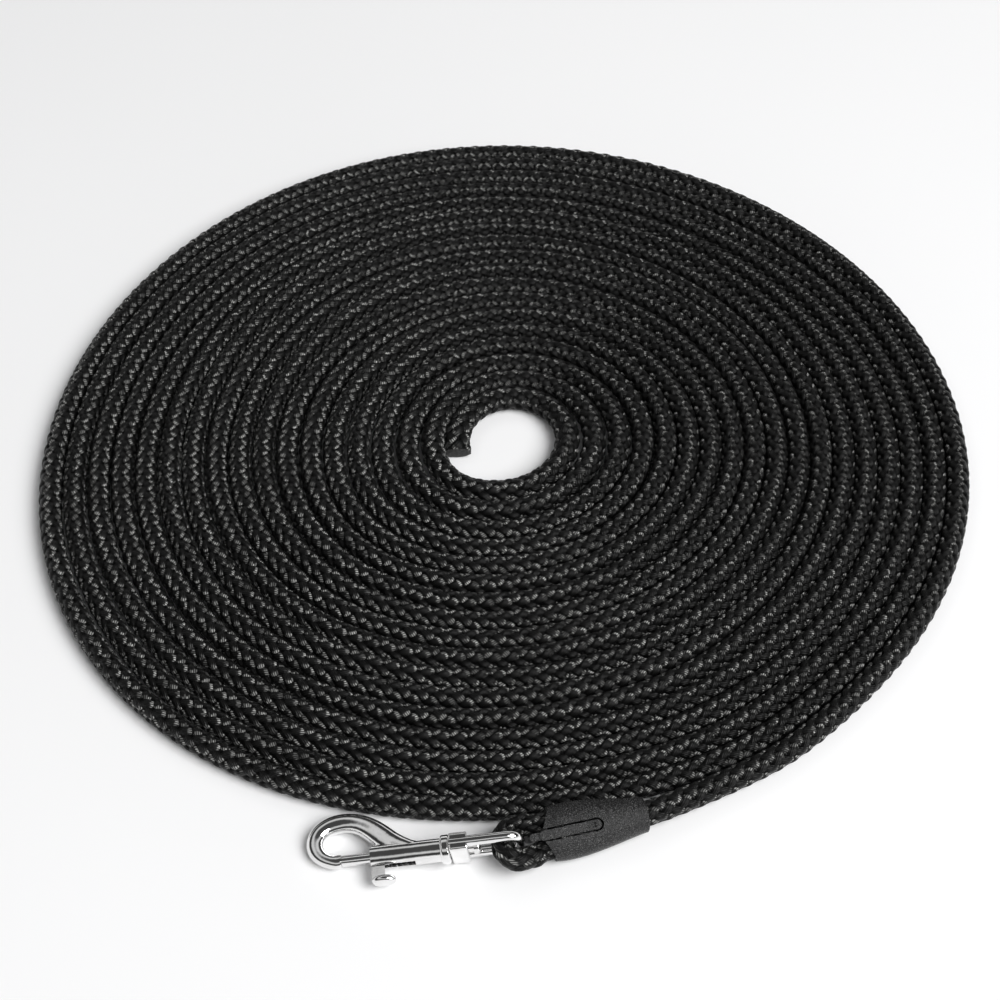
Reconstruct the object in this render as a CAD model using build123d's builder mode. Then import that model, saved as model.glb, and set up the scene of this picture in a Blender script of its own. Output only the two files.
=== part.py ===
from build123d import *
import math
import os

# A training leash: a round braided rope wound in a flat coil, a plastic clip that holds the
# rope's loop, and a swivelling bolt snap.
# +X runs along the snap from the hook to the eye, +Z is up, and the leash lies on z = 0.
# The origin is under the middle of the snap and the clip. Sizes are in millimetres.

# ---------------------------------------------------------------- driving dimensions

# Rope
ROPE_D = 8.0
SQUEEZED_ROPE_D = 5.8          # in the loop and inside the clip, where the rope is pressed

# Coil: a flat spiral, whose turns step outwards mostly within one sector
COIL_CENTRE = (17.0, 161.9)
COIL_TILT = -3.6               # turns the coil's own angles into this frame, in degrees
COIL_FIRST_TURN = -0.525       # where the free end lies, in turns
COIL_LAST_TURN = 17.139        # where the lead takes over
COIL_START_R = 26.5            # radius at turn 0 of the even spiral
TURN_PITCH = 7.77              # average growth of the radius in a turn
STEP_GAIN = 1.5                # how much of it comes in one short sector
STEP_ANGLE = 245.0             # middle of that sector
STEP_WIDTH = 54.0
LEAD_ANGLE = 298.0             # where the outer turns bulge, beside the lead
LEAD_BULGE = 2.2
LEAD_SPREAD = 13.0
OUTLINE_POINTS = 40            # points on each outline of the coil

# Snap: its own frame has x along the barrel towards the eye, and y across, in the hook's plane
SNAP_ORIGIN = (-11.8, -3.6, 6.55)     # on the barrel's axis, at its rear face
SNAP_TILT = 6.5                # the eye's end stands higher than the hook's
BARREL_D = 7.1
BARREL_L = 21.0
BORE_D = 3.5
SLOT_W = 2.1
SLOT_END = -7.7
# Stations along the hook: x, y, heading in degrees, width in the hook's plane, thickness
HOOK_STATIONS = [
    (-29.9, 0.0, 180, 4.0, 3.9),
    (-33.2, 0.2, 157, 4.3, 4.0),
    (-36.5, 2.4, 120, 4.8, 4.2),
    (-38.0, 6.4, 90, 5.2, 4.4),
    (-36.8, 10.1, 55, 5.5, 4.6),
    (-33.4, 12.5, 20, 5.8, 4.9),
    (-29.0, 13.2, 0, 6.0, 5.0),
    (-24.1, 12.0, -24, 6.4, 5.1),
    (-19.8, 9.0, -42, 7.2, 5.3),
    (-15.8, 5.1, -44, 7.6, 5.8),
    (-11.2, 1.8, -28, 7.2, 6.4),
    (-6.0, 0.1, -4, 6.8, 6.8),
]
SOCKET_D = 2.6                 # in the hook's tip, for the bolt's nose
SOCKET_DEPTH = 0.9

# Bolt, knob and spring
BOLT_D = 3.4
BOLT_FRONT = -29.8
BOLT_REAR = -16.0
NOSE_D = 2.2
NOSE_L = 0.7
BOLT_TRAVEL = 9.0
KNOB_NECK = (4.0, 1.8)         # along the barrel, and through the slot
KNOB_NECK_FRONT = -20.9
KNOB_HEAD = (7.2, 4.6, 2.2)    # along the barrel, height, thickness
KNOB_HEAD_X = -17.3
KNOB_ROUND = 1.05
KNOB_REACH = 9.3               # from the barrel's axis to the top of the knob
SPRING_R = 1.3
SPRING_WIRE = 0.4
SPRING_TURNS = 8

# Swivel
STUD_PLUG_D = 3.56             # pressed into the bore
STUD_PLUG_L = 2.6
FLANGE_D = 8.8
FLANGE_L = 2.9
NECK_D = 3.2
NECK_CLEARANCE = 0.05
HEAD_D = 4.8
HEAD_FROM = 10.0
HEAD_L = 2.0
EYE_LEAN = 12.0                # the eye leans over sideways
EYE_BASE = (3.0, 8.5)          # the base block's two faces, along the barrel's axis
EYE_BASE_W = 5.8
EYE_BASE_H = 13.0
EYE_END = 25.3
EYE_HALF = 5.2                 # from the axis to the middle of each bar
EYE_BAR_D = 3.2
EYE_CORNER_R = 3.7

# Clip: its own frame has x from the mouth to the narrow end, and z out of the slotted face
CLIP_MOUTH = (17.9, -1.2, 7.0)
CLIP_END = (50.3, 5.4, 5.9)
CLIP_ROLL = 30.0
CLIP_WALL = 1.1
CLIP_RIM_R = 0.5
# Stations along the clip: x, half width, half thickness
CLIP_STATIONS = [
    (-0.5, 7.5, 5.25),
    (3.5, 8.2, 5.6),
    (8.5, 8.6, 5.75),
    (15.0, 8.2, 5.7),
    (21.0, 7.35, 5.6),
    (27.0, 6.3, 5.5),
    (33.2, 5.4, 5.4),
]
MOUTH_STEP = 4.0               # how far the mouth's sides stand back from its point
CLIP_SLOT_W = 4.0
CLIP_SLOT_END = 19.0
TONGUE_W = 3.1
TONGUE_END = 18.5
TONGUE_FROM = 3.9              # height of the tongue's underside and its top, above the middle
TONGUE_TOP = 5.5
TONGUE_ROUND = 0.25
LATCH_X = 16.8
LATCH_R = 0.6
LATCH_W = 1.6
WEB_W = 1.4
WEB_END = 6.0
NOSE_OUT = 3.9                 # how far the wedge's nose stands out of the mouth
NOSE_W = 2.3
NOSE_HALF_H = 5.2

# Route of the rope's loop: tail inside the clip, round the eye's end bar, back through the clip
LOOP_ROUTE = [
    (30.9, -1.7, 4.8),
    (19.3, -4.8, 4.9),
    (8.2, -10.2, 8.2),
    (6.0, 0.4, 8.9),
    (18.0, 2.3, 9.0),
    (29.3, 4.0, 8.3),
    (40.0, 4.0, 6.7),
    (50.3, 5.4, 5.9),
]
# Route of the lead: out of the clip's narrow end and along to the coil
LEAD_ROUTE = [
    (50.3, 5.4, 5.9),
    (58.2, 8.3, 5.4),
    (68.6, 12.8, 4.7),
    (81.3, 18.4, 4.2),
    (96.3, 25.9, 4.0),
]

os.makedirs("parts", exist_ok=True)


# ---------------------------------------------------------------- frames

def rolled_plane(origin, along, roll):
    """A plane at origin with x along, and z up but rolled towards -Y by roll degrees."""
    x_dir = Vector(*along).normalized()
    side = Vector(0, 0, 1).cross(x_dir).normalized()
    up = x_dir.cross(side)
    angle = math.radians(roll)
    return Plane(origin=origin, x_dir=x_dir, z_dir=up * math.cos(angle) - side * math.sin(angle))


def section_plane(frame, x, y=0.0, heading=0.0):
    """A plane across frame's x-y plane at (x, y), facing heading, with its y along frame's z."""
    angle = math.radians(heading)
    ahead = frame.x_dir * math.cos(angle) + frame.y_dir * math.sin(angle)
    return Plane(origin=frame.from_local_coords((x, y, 0)), x_dir=frame.z_dir.cross(ahead), z_dir=ahead)


tilt = math.radians(SNAP_TILT)
snap = rolled_plane(SNAP_ORIGIN, (math.cos(tilt), 0, math.sin(tilt)), 0)
eye = rolled_plane(SNAP_ORIGIN, (math.cos(tilt), 0, math.sin(tilt)), EYE_LEAN)
clip = rolled_plane(CLIP_MOUTH, Vector(*CLIP_END) - Vector(*CLIP_MOUTH), CLIP_ROLL)


def save(part, name):
    part.label = name
    export_step(part, f"parts/{name}.step")


# ---------------------------------------------------------------- rope

def coil_radius(turn):
    """Radius of the rope's middle, turn counted outwards from the coil's own angle 0."""
    whole = math.floor(turn)
    width = STEP_WIDTH / 360
    step_from = (1 - STEP_ANGLE / 360) - width / 2
    t = min(max((turn - whole - step_from) / width, 0), 1)
    stepped = whole + t * t * (3 - 2 * t)
    outer = turn / 16                        # 0 at turn 0 and 1 in the outermost turn
    inner = math.exp(-(turn + 0.5) / 2.5)    # fades within the first few turns
    middle = 4 * outer * (1 - outer)
    # the turns are neither round nor concentric, and change shape from the inside to the outside
    angle = -2 * math.pi * turn
    off_x = (4.0 - 5.3 * outer - 2.4 * inner - 0.9 * middle) * math.cos(angle)
    off_y = (-0.9 + 1.6 * outer + 3.6 * inner + 2.1 * middle) * math.sin(angle)
    oval_x = (-0.7 + 1.3 * outer + 0.1 * inner + 0.2 * middle) * math.cos(2 * angle)
    oval_y = (3.4 - 1.1 * outer - 2.9 * inner - 1.3 * middle) * math.sin(2 * angle)
    lobes = outer * (1.1 * math.cos(3 * angle) - 0.8 * math.sin(3 * angle))
    from_lead = (-360 * turn - LEAD_ANGLE + 180) % 360 - 180
    bulge = LEAD_BULGE * outer ** 3 * math.exp(-(from_lead / LEAD_SPREAD) ** 2)
    # the free end lies against the next turn
    end_out = 1.0 * inner + 1.5 * math.exp(-(turn - COIL_FIRST_TURN) / 0.15)
    even = COIL_START_R + TURN_PITCH * turn + STEP_GAIN * (stepped - turn)
    shape = off_x + off_y + oval_x + oval_y + lobes
    return even - 7.2 * inner - 0.65 * middle + shape + bulge + end_out


def coil_point(turn, outward=0.0):
    radius = coil_radius(turn) + outward
    angle = math.radians(COIL_TILT - 360 * turn)
    return (COIL_CENTRE[0] + radius * math.cos(angle), COIL_CENTRE[1] + radius * math.sin(angle))


def turn_outline(first_turn, outward):
    return [coil_point(first_turn + i / OUTLINE_POINTS, outward) for i in range(OUTLINE_POINTS + 1)]


with BuildPart() as rope_coil:
    with BuildSketch(Plane.XY):
        with BuildLine():
            outer_edge = Spline(*turn_outline(COIL_LAST_TURN - 1, ROPE_D / 2))
            Line(outer_edge @ 1, outer_edge @ 0)
        make_face()
        with BuildLine():
            inner_edge = Spline(*turn_outline(COIL_FIRST_TURN, -ROPE_D / 2))
            Line(inner_edge @ 1, inner_edge @ 0)
        make_face(mode=Mode.SUBTRACT)
    extrude(amount=ROPE_D)
save(rope_coil.part, "rope_coil")


def bend_radii(points):
    """For each corner, 0.45 of the shorter run divided by the tangent of half the turn."""
    radii = []
    for before, corner, after in zip(points, points[1:], points[2:]):
        run_in = Vector(*corner) - Vector(*before)
        run_out = Vector(*after) - Vector(*corner)
        half_turn = math.radians(run_in.get_angle(run_out) / 2)
        radii.append(0.45 * min(run_in.length, run_out.length) / math.tan(half_turn))
    return radii


def rope_tube(points, diameter):
    radii = bend_radii(points)
    with BuildPart() as tube:
        with BuildLine():
            path = FilletPolyline(*points, radius=radii)
        with BuildSketch(Plane(origin=path @ 0, z_dir=path % 0)):
            Circle(diameter / 2)
        sweep()
    section = math.pi * diameter ** 2 / 4
    print("radii", [round(r, 1) for r in radii], "length", round(path.length, 1),
          "volume", round(tube.part.volume), "section x length", round(section * path.length))
    return tube


rope_loop = rope_tube(LOOP_ROUTE, SQUEEZED_ROPE_D)
save(rope_loop.part, "rope_loop")

lead_end = (*coil_point(COIL_LAST_TURN), ROPE_D / 2)
rope_lead = rope_tube(LEAD_ROUTE + [lead_end], ROPE_D)
save(rope_lead.part, "rope_lead")


# ---------------------------------------------------------------- snap

with BuildPart() as snap_body:
    for x, y, heading, width, thickness in HOOK_STATIONS:
        with BuildSketch(section_plane(snap, x, y, heading)):
            Ellipse(width / 2, thickness / 2)
    loft()
    with BuildSketch(section_plane(snap, -BARREL_L)):
        Circle(BARREL_D / 2)
    extrude(amount=BARREL_L)
    with BuildSketch(section_plane(snap, -BARREL_L)):
        Circle(BORE_D / 2)
    extrude(amount=BARREL_L, mode=Mode.SUBTRACT)
    # slot for the knob's neck, open at the front
    with BuildSketch(snap.offset(-SLOT_W / 2)):
        with Locations(((SLOT_END - BARREL_L - 1) / 2, -BARREL_D / 2)):
            Rectangle(BARREL_L + 1 + SLOT_END, BARREL_D)
    extrude(amount=SLOT_W, mode=Mode.SUBTRACT)
    # socket for the bolt's nose
    with BuildSketch(section_plane(snap, BOLT_FRONT - SOCKET_DEPTH)):
        Circle(SOCKET_D / 2)
    extrude(amount=SOCKET_DEPTH, mode=Mode.SUBTRACT)
save(snap_body.part, "snap_body")

with BuildPart() as snap_bolt:
    with BuildSketch(section_plane(snap, BOLT_FRONT)):
        Circle(BOLT_D / 2)
    extrude(amount=BOLT_REAR - BOLT_FRONT)
    with BuildSketch(section_plane(snap, BOLT_FRONT)):
        Circle(NOSE_D / 2)
    extrude(amount=-NOSE_L)
    # seat for the knob's neck
    with BuildSketch(snap.offset(-KNOB_NECK[1] / 2)):
        with Locations((KNOB_NECK_FRONT + KNOB_NECK[0] / 2, -BOLT_D / 2)):
            Rectangle(KNOB_NECK[0], BOLT_D)
    extrude(amount=KNOB_NECK[1], mode=Mode.SUBTRACT)
save(snap_bolt.part, "snap_bolt")

with BuildPart() as thumb_knob:
    knob_face = Plane(origin=snap.from_local_coords((0, -KNOB_REACH, 0)), x_dir=snap.x_dir,
                      z_dir=snap.y_dir)
    with BuildSketch(knob_face):
        with Locations((KNOB_HEAD_X, 0)):
            Ellipse(KNOB_HEAD[0] / 2, KNOB_HEAD[1] / 2)
    extrude(amount=KNOB_HEAD[2])
    fillet(thumb_knob.edges(), radius=KNOB_ROUND)
    with BuildSketch(knob_face.offset(KNOB_HEAD[2] / 2)):
        with Locations((KNOB_NECK_FRONT + KNOB_NECK[0] / 2, 0)):
            Rectangle(*KNOB_NECK)
    extrude(amount=KNOB_REACH - KNOB_HEAD[2] / 2)
save(thumb_knob.part, "thumb_knob")

spring_from = BOLT_REAR + 0.05
spring_to = -STUD_PLUG_L - 0.05
with BuildPart() as bolt_spring:
    spring_plane = section_plane(snap, spring_from + SPRING_WIRE / 2)
    spring_length = spring_to - spring_from - SPRING_WIRE
    with BuildLine():
        coils = Helix(pitch=spring_length / SPRING_TURNS, height=spring_length, radius=SPRING_R,
                      center=spring_plane.origin, direction=spring_plane.z_dir)
    with BuildSketch(Plane(origin=coils @ 0, z_dir=coils % 0)):
        Circle(SPRING_WIRE / 2)
    sweep(is_frenet=True)
save(bolt_spring.part, "bolt_spring")


# ---------------------------------------------------------------- swivel

with BuildPart() as swivel_stud:
    # half section, turned round the barrel's axis
    with BuildSketch(snap):
        with BuildLine():
            Polyline(
                (-STUD_PLUG_L, 0), (-STUD_PLUG_L, STUD_PLUG_D / 2), (0, STUD_PLUG_D / 2),
                (0, FLANGE_D / 2), (FLANGE_L, FLANGE_D / 2), (FLANGE_L, NECK_D / 2),
                (HEAD_FROM, NECK_D / 2), (HEAD_FROM, HEAD_D / 2), (HEAD_FROM + HEAD_L, HEAD_D / 2),
                (HEAD_FROM + HEAD_L, 0), close=True)
        make_face()
    revolve(axis=Axis(snap.origin, snap.x_dir))
    rims = swivel_stud.edges().filter_by(GeomType.CIRCLE)
    fillet(rims.filter_by(lambda rim: abs(rim.radius - FLANGE_D / 2) < 0.01), radius=0.8)
    head_rims = swivel_stud.edges().filter_by(GeomType.CIRCLE)
    fillet(head_rims.sort_by(Axis(snap.origin, snap.x_dir))[-1], radius=0.95)
save(swivel_stud.part, "swivel_stud")

with BuildPart() as swivel_eye:
    # the base block, on the stud's neck
    with BuildSketch(section_plane(eye, EYE_BASE[0])):
        RectangleRounded(EYE_BASE_W, EYE_BASE_H, 1.2)
    extrude(amount=EYE_BASE[1] - EYE_BASE[0])
    fillet(swivel_eye.faces().filter_by(Axis((0, 0, 0), eye.x_dir)).edges(), radius=0.5)
    # the loop of round bar, from the block round to the block again
    eye_side = Plane(origin=eye.origin, x_dir=eye.x_dir, z_dir=-eye.y_dir)
    bar_end = EYE_END - EYE_BAR_D / 2
    with BuildLine(eye_side):
        bar = FilletPolyline((EYE_BASE[0], EYE_HALF), (bar_end, EYE_HALF), (bar_end, -EYE_HALF),
                             (EYE_BASE[0], -EYE_HALF), radius=EYE_CORNER_R)
    with BuildSketch(Plane(origin=bar @ 0, z_dir=bar % 0)):
        Circle(EYE_BAR_D / 2)
    sweep()
    with BuildSketch(section_plane(eye, EYE_BASE[0])):
        Circle(NECK_D / 2 + NECK_CLEARANCE)
    extrude(amount=EYE_BASE[1] - EYE_BASE[0], mode=Mode.SUBTRACT)
save(swivel_eye.part, "swivel_eye")


# ---------------------------------------------------------------- clip

def clip_shape(wall):
    """The clip's outer shape, or its hollow when wall is the wall's thickness."""
    with BuildPart() as shape:
        for x, half_width, half_thickness in CLIP_STATIONS:
            with BuildSketch(section_plane(clip, x)):
                Ellipse(half_width - wall, half_thickness - wall)
        loft()
    return shape.part


clip_outside = clip_shape(0)
clip_hollow = clip_shape(CLIP_WALL)
with BuildPart() as clip_sleeve:
    add(clip_outside)
    add(clip_hollow, mode=Mode.SUBTRACT)
    mouth_x, mouth_half = CLIP_STATIONS[0][:2]
    widest = CLIP_STATIONS[2][1]
    through = CLIP_STATIONS[2][2] + 1
    with BuildSketch(clip.offset(-through)):
        # both sides of the mouth stand back from its point
        for side in (-1, 1):
            with BuildLine():
                Polyline((mouth_x, 0), (mouth_x + MOUTH_STEP, side * mouth_half),
                         (mouth_x + MOUTH_STEP, side * (widest + 1)),
                         (mouth_x - 1, side * (widest + 1)), (mouth_x - 1, 0), close=True)
            make_face()
        # the slot runs from the mouth and ends round
        with Locations((CLIP_SLOT_END / 2 - CLIP_SLOT_W / 2, 0)):
            SlotOverall(CLIP_SLOT_END + CLIP_SLOT_W, CLIP_SLOT_W)
    extrude(amount=2 * through, mode=Mode.SUBTRACT)
    # rounded rim at the narrow end
    end_rims = clip_sleeve.edges().group_by(Axis(clip.origin, clip.x_dir))[-1]
    fillet(end_rims.sort_by(SortBy.LENGTH)[-1], radius=CLIP_RIM_R)
save(clip_sleeve.part, "clip_sleeve")

with BuildPart() as clip_wedge:
    # the web between the rope's two legs
    with BuildSketch(clip.offset(-TONGUE_TOP)):
        with Locations((WEB_END / 2, 0)):
            Rectangle(WEB_END, WEB_W)
    extrude(amount=2 * TONGUE_TOP)
    # the nose outside the mouth
    with BuildSketch(clip.offset(-NOSE_HALF_H)):
        with Locations(((NOSE_W / 2 - NOSE_OUT) / 2, 0)):
            SlotOverall(NOSE_OUT + NOSE_W / 2, NOSE_W)
    extrude(amount=2 * NOSE_HALF_H)
    # a tongue in each slot, with its latch bump
    for height in (-TONGUE_TOP, TONGUE_FROM):
        with BuildSketch(clip.offset(height)):
            with Locations(((TONGUE_END - NOSE_W / 2) / 2, 0)):
                SlotOverall(TONGUE_END + NOSE_W / 2, TONGUE_W)
        extrude(amount=TONGUE_TOP - TONGUE_FROM)
    tongue_top = clip_wedge.faces().sort_by(Axis(clip.origin, clip.z_dir))[-1]
    fillet(tongue_top.edges(), radius=TONGUE_ROUND)
    latch_face = Plane(origin=clip.from_local_coords((LATCH_X, -LATCH_W / 2, TONGUE_TOP)),
                       x_dir=clip.x_dir, z_dir=clip.y_dir)
    with BuildSketch(latch_face):
        Circle(LATCH_R)
    extrude(amount=LATCH_W)
save(clip_wedge.part, "clip_wedge")
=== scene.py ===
"""The training leash's looks: braided rope, moulded clip, chromed snap, floor, light and camera.

Lengths are in metres, apart from the rope's route, braid and mesh, which are in millimetres until
the mesh is made.
"""

import math

import bpy
import numpy as np
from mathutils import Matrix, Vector


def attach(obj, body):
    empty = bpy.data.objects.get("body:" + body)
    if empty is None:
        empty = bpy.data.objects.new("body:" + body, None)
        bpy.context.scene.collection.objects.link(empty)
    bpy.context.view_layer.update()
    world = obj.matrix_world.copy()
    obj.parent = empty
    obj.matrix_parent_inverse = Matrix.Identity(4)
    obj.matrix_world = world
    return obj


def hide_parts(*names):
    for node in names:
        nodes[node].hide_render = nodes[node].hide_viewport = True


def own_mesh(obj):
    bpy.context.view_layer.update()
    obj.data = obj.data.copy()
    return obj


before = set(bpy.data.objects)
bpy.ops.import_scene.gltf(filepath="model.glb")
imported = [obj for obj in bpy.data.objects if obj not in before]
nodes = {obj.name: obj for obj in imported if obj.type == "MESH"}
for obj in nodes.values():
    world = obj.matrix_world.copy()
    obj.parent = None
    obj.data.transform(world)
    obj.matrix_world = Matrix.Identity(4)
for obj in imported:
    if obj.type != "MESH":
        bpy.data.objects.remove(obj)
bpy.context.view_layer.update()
collection = bpy.context.scene.collection
MM = 0.001


def aim(thing, target):
    """Turns a camera or a lamp towards target."""
    thing.rotation_mode = "QUATERNION"
    thing.rotation_quaternion = (Vector(target) - thing.location).to_track_quat("-Z", "Y")


# ------------------------------------------------------------------ camera

CAMERA_AT = (-0.0154, -0.3422, 0.5515)
CAMERA_TO = (0.0149, 0.1396, 0.0)
LENS = 76.3
SENSOR_W = 36.0
NEAREST = 0.01
FARTHEST = 50.0


def add_camera():
    data = bpy.data.cameras.new("camera")
    data.lens = LENS
    data.sensor_width = SENSOR_W
    data.clip_start = NEAREST
    data.clip_end = FARTHEST
    camera = bpy.data.objects.new("camera", data)
    collection.objects.link(camera)
    camera.location = CAMERA_AT
    aim(camera, CAMERA_TO)
    bpy.context.scene.camera = camera


add_camera()


# ------------------------------------------------------------------ node helpers

class Nodes:
    """Builds a material's node tree with short calls; an input is a number or another node's output."""

    def __init__(self, name):
        self.material = bpy.data.materials.new(name)
        self.material.use_nodes = True
        self.tree = self.material.node_tree
        self.tree.nodes.clear()
        self.out = self.tree.nodes.new("ShaderNodeOutputMaterial")

    def put(self, socket, value):
        if isinstance(value, bpy.types.NodeSocket):
            self.tree.links.new(value, socket)
        elif value is not None:
            socket.default_value = value

    def node(self, kind, *inputs, **settings):
        made = self.tree.nodes.new(kind)
        for key, value in settings.items():
            setattr(made, key, value)
        for socket, value in zip(made.inputs, inputs):
            self.put(socket, value)
        return made

    def math(self, operation, *inputs):
        return self.node("ShaderNodeMath", *inputs, operation=operation).outputs[0]

    def add(self, first, second):
        return self.math("ADD", first, second)

    def minus(self, first, second):
        return self.math("SUBTRACT", first, second)

    def times(self, first, second):
        return self.math("MULTIPLY", first, second)

    def scaled(self, value, scale, offset):
        """value times scale, plus offset"""
        return self.math("MULTIPLY_ADD", value, scale, offset)

    def rise(self, value, low, high):
        """0 below low, 1 above high, and smooth between them"""
        made = self.node("ShaderNodeMapRange", value, low, high, interpolation_type="SMOOTHSTEP")
        return made.outputs[0]

    def chance(self, seed):
        """a random number from 0 to 1 that is the same wherever seed is the same"""
        made = self.node("ShaderNodeTexWhiteNoise", noise_dimensions="1D")
        self.put(made.inputs["W"], seed)
        return made.outputs[0]

    def mix(self, factor, first, second):
        made = self.tree.nodes.new("ShaderNodeMix")
        self.put(made.inputs[0], factor)
        self.put(made.inputs[2], first)
        self.put(made.inputs[3], second)
        return made.outputs[0]

    def mix_colour(self, factor, first, second):
        made = self.tree.nodes.new("ShaderNodeMix")
        made.data_type = "RGBA"
        self.put(made.inputs[0], factor)
        self.put(made.inputs[6], first)
        made.inputs[7].default_value = (*second, 1.0)
        return made.outputs[2]

    def noise(self, vector, scale, detail):
        made = self.tree.nodes.new("ShaderNodeTexNoise")
        self.put(made.inputs["Vector"], vector)
        made.inputs["Scale"].default_value = scale
        made.inputs["Detail"].default_value = detail
        return made.outputs[0]

    def ramp(self, value, *stops):
        made = self.tree.nodes.new("ShaderNodeValToRGB")
        self.put(made.inputs[0], value)
        fill_ramp(made.color_ramp, stops)
        return made.outputs[0]

    def bump(self, height, distance, strength=1.0):
        made = self.tree.nodes.new("ShaderNodeBump")
        made.inputs["Strength"].default_value = strength
        made.inputs["Distance"].default_value = distance
        self.put(made.inputs["Height"], height)
        return made.outputs[0]

    def object_space(self):
        return self.tree.nodes.new("ShaderNodeTexCoord").outputs["Object"]

    def principled(self, **sockets):
        made = self.tree.nodes.new("ShaderNodeBsdfPrincipled")
        for key, value in sockets.items():
            self.put(made.inputs[key.replace("_", " ")], value)
        self.tree.links.new(made.outputs[0], self.out.inputs["Surface"])
        return self.material


def fill_ramp(ramp, stops):
    """Gives a colour ramp, which starts with two stops, the stops (place, colour)."""
    for element, (at, colour) in zip(ramp.elements, stops):
        element.position = at
        element.color = (*colour, 1.0)
    for at, colour in stops[2:]:
        ramp.elements.new(at).color = (*colour, 1.0)


def grey(tone):
    return (tone, tone, tone)


# ------------------------------------------------------------------ the rope's line

ROPE_D = 8.0
LOOP_ROUTE = [
    (30.9, -1.7, 4.8),
    (19.3, -4.8, 4.9),
    (8.2, -10.2, 8.2),
    (6.0, 0.4, 8.9),
    (18.0, 2.3, 9.0),
    (29.3, 4.0, 8.3),
    (40.0, 4.0, 6.7),
]
LEAD_ROUTE = [
    (50.3, 5.4, 5.9),
    (58.2, 8.3, 5.4),
    (68.6, 12.8, 4.7),
    (81.3, 18.4, 4.2),
    (96.3, 25.9, 4.0),
]
COIL_CENTRE = (17.0, 161.9)
COIL_TILT = -3.6
COIL_FIRST_TURN = -0.525
COIL_LAST_TURN = 17.139
COIL_START_R = 26.5
TURN_PITCH = 7.77
STEP_GAIN = 1.5
STEP_ANGLE = 245.0
STEP_WIDTH = 54.0
LEAD_ANGLE = 298.0
LEAD_BULGE = 2.2
LEAD_SPREAD = 13.0
POINTS_PER_TURN = 60
NURBS_STEPS = 12


def coil_radius(turn):
    """Radius of the rope's middle, turn counted outwards from the coil's own angle 0."""
    whole = math.floor(turn)
    width = STEP_WIDTH / 360
    step_from = (1 - STEP_ANGLE / 360) - width / 2
    t = min(max((turn - whole - step_from) / width, 0), 1)
    stepped = whole + t * t * (3 - 2 * t)
    outer = turn / 16                        # 0 at turn 0 and 1 in the outermost turn
    inner = math.exp(-(turn + 0.5) / 2.5)    # fades within the first few turns
    middle = 4 * outer * (1 - outer)
    # the turns are neither round nor concentric, and change shape from the inside to the outside
    angle = -2 * math.pi * turn
    off_x = (4.0 - 5.3 * outer - 2.4 * inner - 0.9 * middle) * math.cos(angle)
    off_y = (-0.9 + 1.6 * outer + 3.6 * inner + 2.1 * middle) * math.sin(angle)
    oval_x = (-0.7 + 1.3 * outer + 0.1 * inner + 0.2 * middle) * math.cos(2 * angle)
    oval_y = (3.4 - 1.1 * outer - 2.9 * inner - 1.3 * middle) * math.sin(2 * angle)
    lobes = outer * (1.1 * math.cos(3 * angle) - 0.8 * math.sin(3 * angle))
    from_lead = (-360 * turn - LEAD_ANGLE + 180) % 360 - 180
    bulge = LEAD_BULGE * outer ** 3 * math.exp(-(from_lead / LEAD_SPREAD) ** 2)
    # the free end lies against the next turn
    end_out = 1.0 * inner + 1.5 * math.exp(-(turn - COIL_FIRST_TURN) / 0.15)
    even = COIL_START_R + TURN_PITCH * turn + STEP_GAIN * (stepped - turn)
    shape = off_x + off_y + oval_x + oval_y + lobes
    return even - 7.2 * inner - 0.65 * middle + shape + bulge + end_out


def coil_point(turn):
    radius = coil_radius(turn)
    angle = math.radians(COIL_TILT - 360 * turn)
    x = COIL_CENTRE[0] + radius * math.cos(angle)
    y = COIL_CENTRE[1] + radius * math.sin(angle)
    return (x, y, ROPE_D / 2)


def coil_route():
    """The coil's points from the lead, in the outermost turn, to the free end in the middle."""
    turns = COIL_LAST_TURN - COIL_FIRST_TURN
    steps = round(turns * POINTS_PER_TURN)
    return [coil_point(COIL_LAST_TURN - turns * i / steps) for i in range(steps + 1)]


def nurbs_line(points):
    """The points that a smooth NURBS line follows, with points as its control points."""
    curve = bpy.data.curves.new("rope_line", "CURVE")
    curve.dimensions = "3D"
    curve.resolution_u = NURBS_STEPS
    spline = curve.splines.new("NURBS")
    spline.points.add(len(points) - 1)
    for control, point in zip(spline.points, points):
        control.co = (*(MM * c for c in point), 1.0)
    spline.order_u = 3
    spline.use_endpoint_u = True
    carrier = bpy.data.objects.new("rope_line", curve)
    collection.objects.link(carrier)
    line = bpy.data.meshes.new_from_object(carrier)
    followed = np.empty(len(line.vertices) * 3)
    line.vertices.foreach_get("co", followed)
    bpy.data.objects.remove(carrier)
    bpy.data.curves.remove(curve)
    bpy.data.meshes.remove(line)
    return followed.reshape(-1, 3) / MM


# ------------------------------------------------------------------ the braid

BRAID_COLUMNS = 10
BRAID_PITCH = 5.6              # from one crown to the next along a column
BRAID_SLANT = math.radians(40)
BRAID_FAMILIES = ((0, BRAID_SLANT), (1, -BRAID_SLANT))
CROWN_A = 2.65                 # half length and half width of a crown
CROWN_B = 1.85
CROWN_H = 0.95
ROPE_CORE_R = 3.1
COLUMN_W = math.pi * ROPE_D / BRAID_COLUMNS
YARN_W = 0.72
RING_STEP = 0.8

# arcs of the section, more finely divided above than below: from and to, in degrees, and points
UPPER_ARC = (-20, 200, 27)
LOWER_ARC = (200, 340, 11)

# slow waves of the braid, round the rope in columns and along it in pitches: size, length, phase
DRIFT_WAVES = ((0.7, 310, 0.0), (0.35, 97, 1.0))
STRETCH_WAVES = ((0.22, 53, 0.4), (0.3, 171, 0.0))

# the clip and the eye press the rope flat, over these stretches of its length from the tail
PRESSED = 0.28
TAIL_LEAVES_CLIP = (11, 15)
LOOP_ENTERS_CLIP = (37, 42)
LEAD_LEAVES_CLIP = (64, 76)

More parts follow.
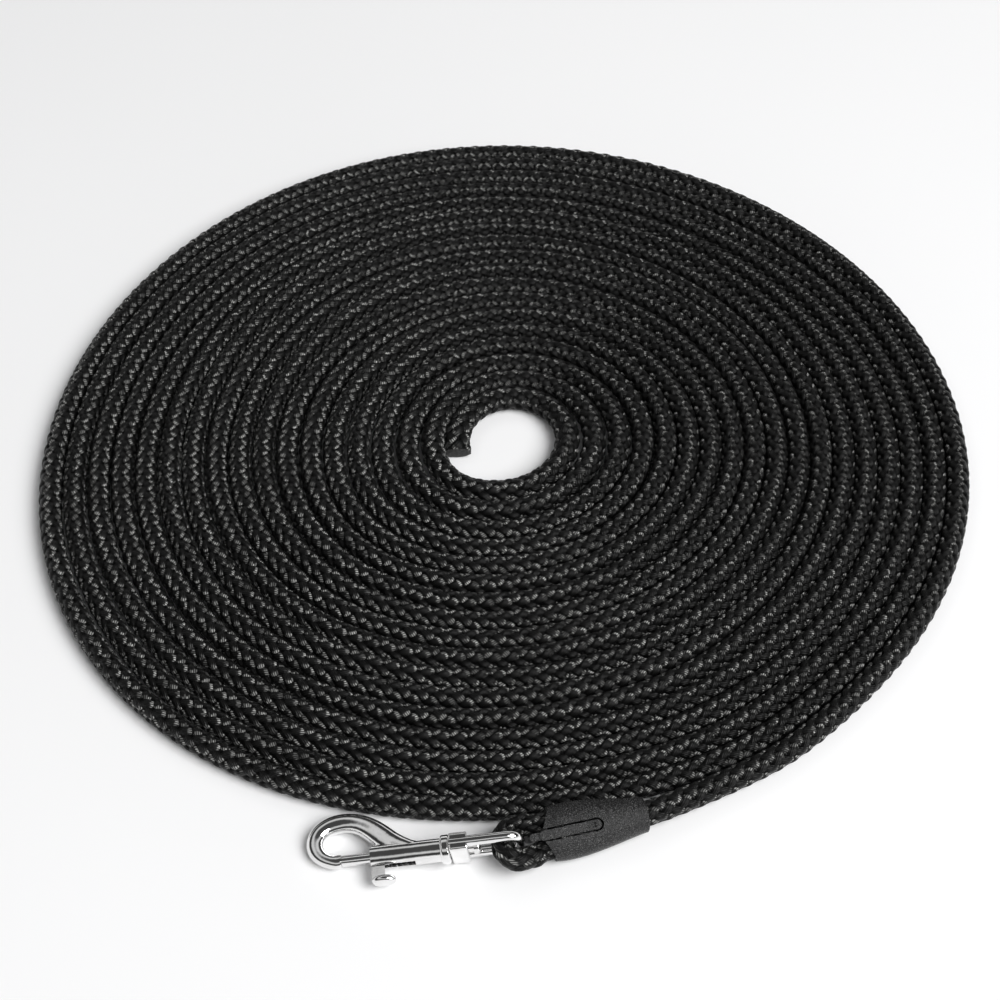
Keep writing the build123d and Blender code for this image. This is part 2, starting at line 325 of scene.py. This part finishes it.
# shares by which the rope's shape changes at the free end, and how fast each fades away from it
TURN_WIDER = (0.16, 240)
END_WIDER = (0.12, 14)
END_FLATTER = (0.42, 7)
END_ASLANT = (0.1, 6)

# smaller rings that close an end, as share of the section and push outwards, round a middle point
CAP_RINGS = ((0.86, 0.25), (0.5, 0.38))
CAP_MIDDLE_PUSH = 0.35
CAP_WAVES = ((0.06, 5, 1), (0.04, 11, 0))    # size, waves round the rim, share of the end's phase


def crown_height(along, column):
    """0 in the valleys and 1 on top of a crown; along is in pitches, column in columns."""
    tallest = np.zeros(np.broadcast(along, column).shape)
    for family, slant in BRAID_FAMILIES:
        x = along - 0.5 * family
        x = (x - np.round(x)) * BRAID_PITCH
        y = (column - family) / 2
        y = (y - np.round(y)) * 2 * COLUMN_W
        a = (x * math.cos(slant) + y * math.sin(slant)) / CROWN_A
        b = (y * math.cos(slant) - x * math.sin(slant)) / CROWN_B
        tallest = np.maximum(tallest, np.sqrt(np.maximum(0, 1 - a * a - b * b)))
    return tallest


def resampled(line, step):
    """Distances along the line, step apart, and the points there."""
    lengths = np.concatenate([[0], np.cumsum(np.linalg.norm(np.diff(line, axis=0), axis=1))])
    at = np.linspace(0, lengths[-1], int(lengths[-1] / step) + 1)
    return at, np.stack([np.interp(at, lengths, line[:, k]) for k in range(3)], axis=1)


def smooth_step(x, low, high):
    t = np.clip((x - low) / (high - low), 0, 1)
    return t * t * (3 - 2 * t)


def waves(at, rows):
    return sum(size * np.sin(at / length + phase) for size, length, phase in rows)


def fading(share_and_reach, distance):
    share, reach = share_and_reach
    return share * np.exp(-distance / reach)


def directions(centre):
    """Unit vectors ahead, to the side and up at each point of the rope's middle."""
    ahead = np.gradient(centre, axis=0)
    ahead /= np.linalg.norm(ahead, axis=1)[:, None]
    up = np.array([0.0, 0.0, 1.0]) - ahead * ahead[:, 2:3]
    up /= np.linalg.norm(up, axis=1)[:, None]
    return ahead, np.cross(ahead, up), up


def section_angles():
    upper = np.linspace(*UPPER_ARC)
    lower = np.linspace(*LOWER_ARC)[1:-1]
    return np.radians(np.concatenate([upper, lower]))


def rope_points(at, centre, ahead, angle, radius):
    """The surface's points, ring by ring; lowers the middle where the free end is flattened."""
    side, up = directions(centre)[1:]
    leaving = smooth_step(at, *LEAD_LEAVES_CLIP)
    in_clip = 1 - smooth_step(at, *TAIL_LEAVES_CLIP) + smooth_step(at, *LOOP_ENTERS_CLIP) - leaving
    inner = 1 - PRESSED * (1 - leaving)
    outer = 1 - PRESSED * in_clip
    to_end = at[-1] - at
    wide = 1 + fading(TURN_WIDER, to_end) + fading(END_WIDER, to_end)
    tall = 1 - fading(END_FLATTER, to_end)
    cosine = np.cos(angle)[None, :]
    x = radius * cosine * np.where(cosine > 0, inner[:, None], outer[:, None]) * wide[:, None]
    y = radius * np.sin(angle)[None, :] * tall[:, None]
    aslant = -x * fading(END_ASLANT, to_end)[:, None]
    centre[:, 2] -= ROPE_D / 2 * (1 - tall)
    surface = centre[:, None, :] + side[:, None, :] * x[:, :, None] + up[:, None, :] * y[:, :, None]
    return (surface + ahead[:, None, :] * aslant[:, :, None]).reshape(-1, 3)


def braid_uv(along, column):
    """Place in the braid, in pitches and columns, for each corner of the rope's quads."""
    after = np.concatenate([column[:, 1:], column[:, :1] + BRAID_COLUMNS], axis=1)
    along = np.repeat(along[:, None], column.shape[1], axis=1)
    corners = [
        np.stack([along[:-1], column[:-1]], -1),
        np.stack([along[1:], column[1:]], -1),
        np.stack([along[1:], after[1:]], -1),
        np.stack([along[:-1], after[:-1]], -1),
    ]
    return np.stack(corners, axis=2).reshape(-1, 2)


def cap_waves(turn, phase):
    return sum(size * math.sin(count * turn + share * phase) for size, count, share in CAP_WAVES)


def end_cap(points, rim, angle, middle, outwards, phase, first_new):
    """New points and the faces that close the rope's end, uneven as melted nylon is."""
    made = []
    rings = [list(rim)]
    for share, push in CAP_RINGS:
        start = first_new + len(made)
        rings.append(list(range(start, start + len(rim))))
        for turn, point in zip(angle, points[rim]):
            wobble = 1 + cap_waves(turn, phase)
            made.append(middle + (point - middle) * share * wobble + outwards * push)
    tip = first_new + len(made)
    made.append(middle + outwards * CAP_MIDDLE_PUSH)
    around = range(len(rim))
    faces = []
    for low, high in zip(rings, rings[1:]):
        faces += [(low[k - 1], high[k - 1], high[k], low[k]) for k in around]
    faces += [(rings[-1][k - 1], tip, rings[-1][k]) for k in around]
    return made, faces


def rope_mesh(points, faces, quads, uv):
    """A mesh of the quads, with the braid's material and places, and the end caps' faces."""
    cap_loops = np.array([v for face in faces for v in face])
    sizes = np.concatenate([np.full(len(quads), 4), np.array([len(face) for face in faces])])
    loops = np.concatenate([quads.reshape(-1), cap_loops])
    starts = np.concatenate([[0], np.cumsum(sizes)[:-1]])
    mesh = bpy.data.meshes.new("braided_rope")
    mesh.vertices.add(len(points))
    mesh.vertices.foreach_set("co", (points * MM).astype(np.float32).ravel())
    mesh.loops.add(len(loops))
    mesh.loops.foreach_set("vertex_index", loops.astype(np.int32))
    mesh.polygons.add(len(sizes))
    mesh.polygons.foreach_set("loop_start", starts.astype(np.int32))
    layer = mesh.uv_layers.new(name="braid")
    every_uv = np.concatenate([uv, np.zeros((len(cap_loops), 2))])
    layer.data.foreach_set("uv", every_uv.astype(np.float32).ravel())
    slots = np.zeros(len(sizes), dtype=np.int32)
    slots[len(quads):] = 1
    mesh.polygons.foreach_set("material_index", slots)
    mesh.update(calc_edges=True)
    mesh.validate()
    mesh.shade_smooth()
    return mesh


def build_rope():
    """The rope as one piece; returns it with the points of its middle and its length."""
    at, centre = resampled(nurbs_line(LOOP_ROUTE + LEAD_ROUTE + coil_route()), RING_STEP)
    ahead = directions(centre)[0]
    angle = section_angles()
    along = at / BRAID_PITCH + waves(at, STRETCH_WAVES)
    drift = waves(at, DRIFT_WAVES)
    column = angle[None, :] / (2 * math.pi) * BRAID_COLUMNS + drift[:, None]
    radius = ROPE_CORE_R + CROWN_H * crown_height(along[:, None], column)
    points = rope_points(at, centre, ahead, angle, radius)
    index = np.arange(len(points)).reshape(len(at), len(angle))
    after = np.roll(index, -1, axis=1)
    quads = np.stack([index[:-1], index[1:], after[1:], after[:-1]], axis=-1).reshape(-1, 4)
    last = len(at) - 1
    tail, faces = end_cap(points, index[0], angle, centre[0], -ahead[0], 0, len(points))
    faces = [face[::-1] for face in faces]
    start = len(points) + len(tail)
    tip, tip_faces = end_cap(points, index[last], angle, centre[last], ahead[last], last, start)
    mesh = rope_mesh(np.concatenate([points, tail, tip]), faces + tip_faces, quads,
                     braid_uv(along, column))
    made = bpy.data.objects.new("braided_rope", mesh)
    collection.objects.link(made)
    return made, centre, at[-1]


# ------------------------------------------------------------------ rope materials

# the nylon's colours: painted shade from the crowns' tops down their sides to the valleys between them,
# and a painted highlight for the glints at the yarns' ends
NYLON_VALLEY_SHADE = grey(0.0003)
NYLON_SIDE_SHADE = grey(0.002)
NYLON_CROWN = (0.006, 0.006, 0.0058)
NYLON_PAINTED_GLINT = (0.5, 0.5, 0.485)
YARN_BEND = 0.05
LONGEST_GLINT = 0.4            # how much sooner a painted glint may start, as a share of CROWN_A
# where along a crown a painted glint starts and where it is full, as shares of CROWN_A
GLINT_FROM = 0.1
GLINT_FULL = 0.32
CROWN_RELIEF = 0.8
YARN_RELIEF = 0.13
FUZZ_RELIEF = 0.05
HEIGHT_SHADE = 0.6               # what a spot's height and its yarn add to its tone as painted shade, darker low down, and what its crown's own random tone adds
YARN_SHADE = 0.25
OWN_TONE = 0.15
LOWEST_GLINT = 0.12            # lowest height on the crown, from 0 to 1, that takes a painted glint
NYLON_ROUGH = 0.3
NYLON_UNEVEN = 0.14
NYLON_GLOSS = 0.14

# steps between the seeds of neighbouring crowns, along and round the rope, and of yarns
CROWN_SEED_ALONG = 7.31
CROWN_SEED_ROUND = 3.17
YARN_SEED = 1.37


def braid_family(n, along, column, family, slant):
    """Height, yarns' ridges, number and painted highlight at the yarns' ends (a painted glint) of one
    family's crowns.
    """
    x = n.minus(along, 0.5 * family)
    cell_x = n.math("ROUND", x)
    x = n.times(n.minus(x, cell_x), BRAID_PITCH)
    y = n.times(n.minus(column, float(family)), 0.5)
    cell_y = n.math("ROUND", y)
    y = n.times(n.minus(y, cell_y), 2 * COLUMN_W)
    a = n.add(n.times(x, math.cos(slant)), n.times(y, math.sin(slant)))
    b = n.minus(n.times(y, math.cos(slant)), n.times(x, math.sin(slant)))
    aa = n.math("POWER", n.math("ABSOLUTE", n.math("DIVIDE", a, CROWN_A)), 2.0)
    bb = n.math("POWER", n.math("ABSOLUTE", n.math("DIVIDE", b, CROWN_B)), 2.0)
    height = n.math("SQRT", n.math("MAXIMUM", n.minus(n.minus(1.0, aa), bb), 0.0))
    # the crown's yarns lie side by side and bend a little
    bent = n.add(b, n.times(n.times(a, a), YARN_BEND))
    yarn = n.math("ABSOLUTE", n.math("COSINE", n.times(bent, math.pi / YARN_W)))
    crown = n.add(n.times(cell_x, CROWN_SEED_ALONG), n.times(cell_y, CROWN_SEED_ROUND))
    strand = n.math("ROUND", n.math("DIVIDE", bent, YARN_W))
    single = n.chance(n.scaled(strand, YARN_SEED, crown))
    # painted highlight: the end of each yarn, where it dives under the next crown, is painted light as
    # a glint, some sooner than others
    reach = n.scaled(single, -LONGEST_GLINT * CROWN_A, a)
    dive = n.rise(reach, GLINT_FROM * CROWN_A, GLINT_FULL * CROWN_A)
    light = n.times(dive, n.scaled(single, scale=0.9, offset=0.1))
    return height, yarn, crown, light


def braid_material():
    n = Nodes("braided_nylon")
    place = n.node("ShaderNodeSeparateXYZ", n.node("ShaderNodeUVMap", uv_map="braid").outputs[0])
    families = [braid_family(n, place.outputs[0], place.outputs[1], *each) for each in BRAID_FAMILIES]
    (height0, yarn0, crown0, light0), (height1, yarn1, crown1, light1) = families
    first_on_top = n.math("GREATER_THAN", height0, height1)
    height = n.mix(first_on_top, height1, height0)
    yarn = n.mix(first_on_top, yarn1, yarn0)
    own = n.chance(n.mix(first_on_top, n.add(crown1, 0.5), crown0))
    light = n.mix(first_on_top, light1, light0)
    fuzz = n.noise(n.object_space(), scale=2600.0, detail=2.0)
    relief = n.add(n.times(height, CROWN_RELIEF), n.times(yarn, YARN_RELIEF))
    relief = n.add(relief, n.times(fuzz, FUZZ_RELIEF))
    # painted shade: the tone is darker low on the crowns and between the yarns; the crown's own share
    # differs at random
    tone = n.add(n.times(height, HEIGHT_SHADE), n.times(yarn, YARN_SHADE))
    tone = n.add(tone, n.times(own, OWN_TONE))
    body = n.ramp(tone, (0.0, NYLON_VALLEY_SHADE), (0.5, NYLON_SIDE_SHADE), (1.0, NYLON_CROWN))
    # a painted highlight: light grey painted into the colour on the yarns' ridges at their diving ends,
    # only up on the crowns
    painted_glint = n.times(light, n.math("POWER", yarn, 2.0))
    painted_glint = n.times(painted_glint, n.scaled(own, scale=0.7, offset=0.4))
    painted_glint = n.times(painted_glint, n.math("GREATER_THAN", height, LOWEST_GLINT))
    return n.principled(
        Base_Color=n.mix_colour(painted_glint, body, NYLON_PAINTED_GLINT),
        Roughness=n.add(NYLON_ROUGH, n.times(own, NYLON_UNEVEN)),
        Specular_IOR_Level=NYLON_GLOSS,
        Normal=n.bump(relief, distance=0.001),
    )


def melted_material():
    n = Nodes("melted_nylon")
    where = n.object_space()
    lumps = n.noise(where, scale=900.0, detail=4.0)
    fine = n.noise(where, scale=3600.0, detail=2.0)
    relief = n.add(lumps, n.times(fine, 0.3))
    return n.principled(
        Base_Color=n.ramp(lumps, (0.3, grey(0.004)), (0.7, (0.02, 0.019, 0.018))),
        Roughness=n.scaled(fine, scale=0.3, offset=0.35),
        Normal=n.bump(relief, distance=0.0006),
    )


rope, rope_centre, rope_length = build_rope()
rope.data.materials.append(braid_material())
rope.data.materials.append(melted_material())
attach(rope, "line")
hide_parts("rope_coil", "rope_lead", "rope_loop")


# ------------------------------------------------------------------ hardware materials

def chrome_material():
    n = Nodes("polished_chrome")
    where = n.object_space()
    ripples = n.noise(where, scale=160.0, detail=2.0)
    pits = n.noise(where, scale=1500.0, detail=3.0)
    relief = n.add(n.times(ripples, 0.8), n.times(pits, 0.06))
    return n.principled(
        Base_Color=n.ramp(ripples, (0.3, (0.78, 0.775, 0.765)), (0.7, (0.86, 0.86, 0.865))),
        Metallic=1.0,
        Roughness=n.ramp(pits, (0.35, grey(0.05)), (0.75, grey(0.16))),
        Normal=n.bump(relief, distance=0.0003, strength=0.5),
    )


def plastic_material():
    n = Nodes("moulded_plastic")
    where = n.object_space()
    grain = n.noise(where, scale=3000.0, detail=2.0)
    tone = n.noise(where, scale=240.0, detail=3.0)
    # painted highlights: light specks, scattered at random through the grain, are painted into the
    # colour to stand in for the plastic's sparkle
    painted_sparkle = n.scaled(tone, 0.1, grain)
    return n.principled(
        Base_Color=n.ramp(painted_sparkle, (0.57, (0.002, 0.002, 0.0021)), (0.8, grey(0.1))),
        Roughness=n.scaled(grain, scale=0.2, offset=0.16),
        Specular_IOR_Level=0.34,
        Normal=n.bump(grain, distance=0.0003),
    )


def spring_material():
    n = Nodes("spring_wire")
    streaks = n.noise(n.object_space(), scale=1200.0, detail=2.0)
    return n.principled(
        Base_Color=n.ramp(streaks, (0.3, (0.35, 0.35, 0.36)), (0.7, (0.55, 0.55, 0.56))),
        Metallic=1.0,
        Roughness=n.scaled(streaks, scale=0.2, offset=0.25),
    )


def give(material, *names):
    for name in names:
        mesh = nodes[name].data
        mesh.materials.clear()
        mesh.materials.append(material)


give(chrome_material(), "snap_body", "snap_bolt", "thumb_knob", "swivel_stud", "swivel_eye")
give(plastic_material(), "clip_sleeve", "clip_wedge")
give(spring_material(), "bolt_spring")


# ------------------------------------------------------------------ the bolt's spring


def build_spring():
    """The spring as a piece of its own, copied from the part's mesh and attached to the snap."""
    node = nodes["bolt_spring"]
    made = bpy.data.objects.new("coil_spring", node.data.copy())
    collection.objects.link(made)
    made.matrix_world = node.matrix_world
    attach(made, "snap")
    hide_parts("bolt_spring")
    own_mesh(made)


build_spring()


# ------------------------------------------------------------------ floor, room and light

FLOOR_SIZE = 12.0
FLOOR_AT = (0, 0.2, 0)

# brightness of the room from the horizon, 0, up to the ceiling, 1
SKY_BANDS = [(0.0, 1.2), (0.2, 0.7), (0.3, 0.04), (0.58, 0.04), (0.68, 0.6), (0.8, 0.7), (0.9, 0.06)]

KEY_AT = (1.5, -1.1, 2.1)
KEY_TO = (0.02, 0.12, 0)
KEY_SIZE = 2.0
KEY_POWER = 106


def floor_material():
    n = Nodes("white_floor")
    tone = n.noise(n.object_space(), scale=3.0, detail=2.0)
    colour = n.ramp(tone, (0.2, (0.86, 0.86, 0.865)), (0.8, (0.88, 0.88, 0.885)))
    return n.principled(Base_Color=colour, Roughness=0.6)


def add_floor():
    bpy.ops.mesh.primitive_plane_add(size=FLOOR_SIZE, location=FLOOR_AT)
    floor = bpy.context.object
    floor.name = "floor"
    floor.data.materials.append(floor_material())


def add_room():
    world = bpy.data.worlds.new("studio")
    bpy.context.scene.world = world
    world.use_nodes = True
    tree = world.node_tree
    direction = tree.nodes.new("ShaderNodeTexCoord").outputs["Generated"]
    height = tree.nodes.new("ShaderNodeSeparateXYZ")
    bands = tree.nodes.new("ShaderNodeValToRGB")
    tree.links.new(direction, height.inputs[0])
    tree.links.new(height.outputs["Z"], bands.inputs[0])
    fill_ramp(bands.color_ramp, [(at, grey(tone)) for at, tone in SKY_BANDS])
    tree.links.new(bands.outputs[0], tree.nodes["Background"].inputs[0])


def add_key():
    data = bpy.data.lights.new("key", "AREA")
    data.shape = "SQUARE"
    data.size = KEY_SIZE
    data.energy = KEY_POWER
    lamp = bpy.data.objects.new("key", data)
    collection.objects.link(lamp)
    lamp.location = KEY_AT
    aim(lamp, KEY_TO)


add_floor()
add_room()
add_key()

settings = bpy.context.scene.view_settings
settings.view_transform = "Standard"
settings.look = "None"
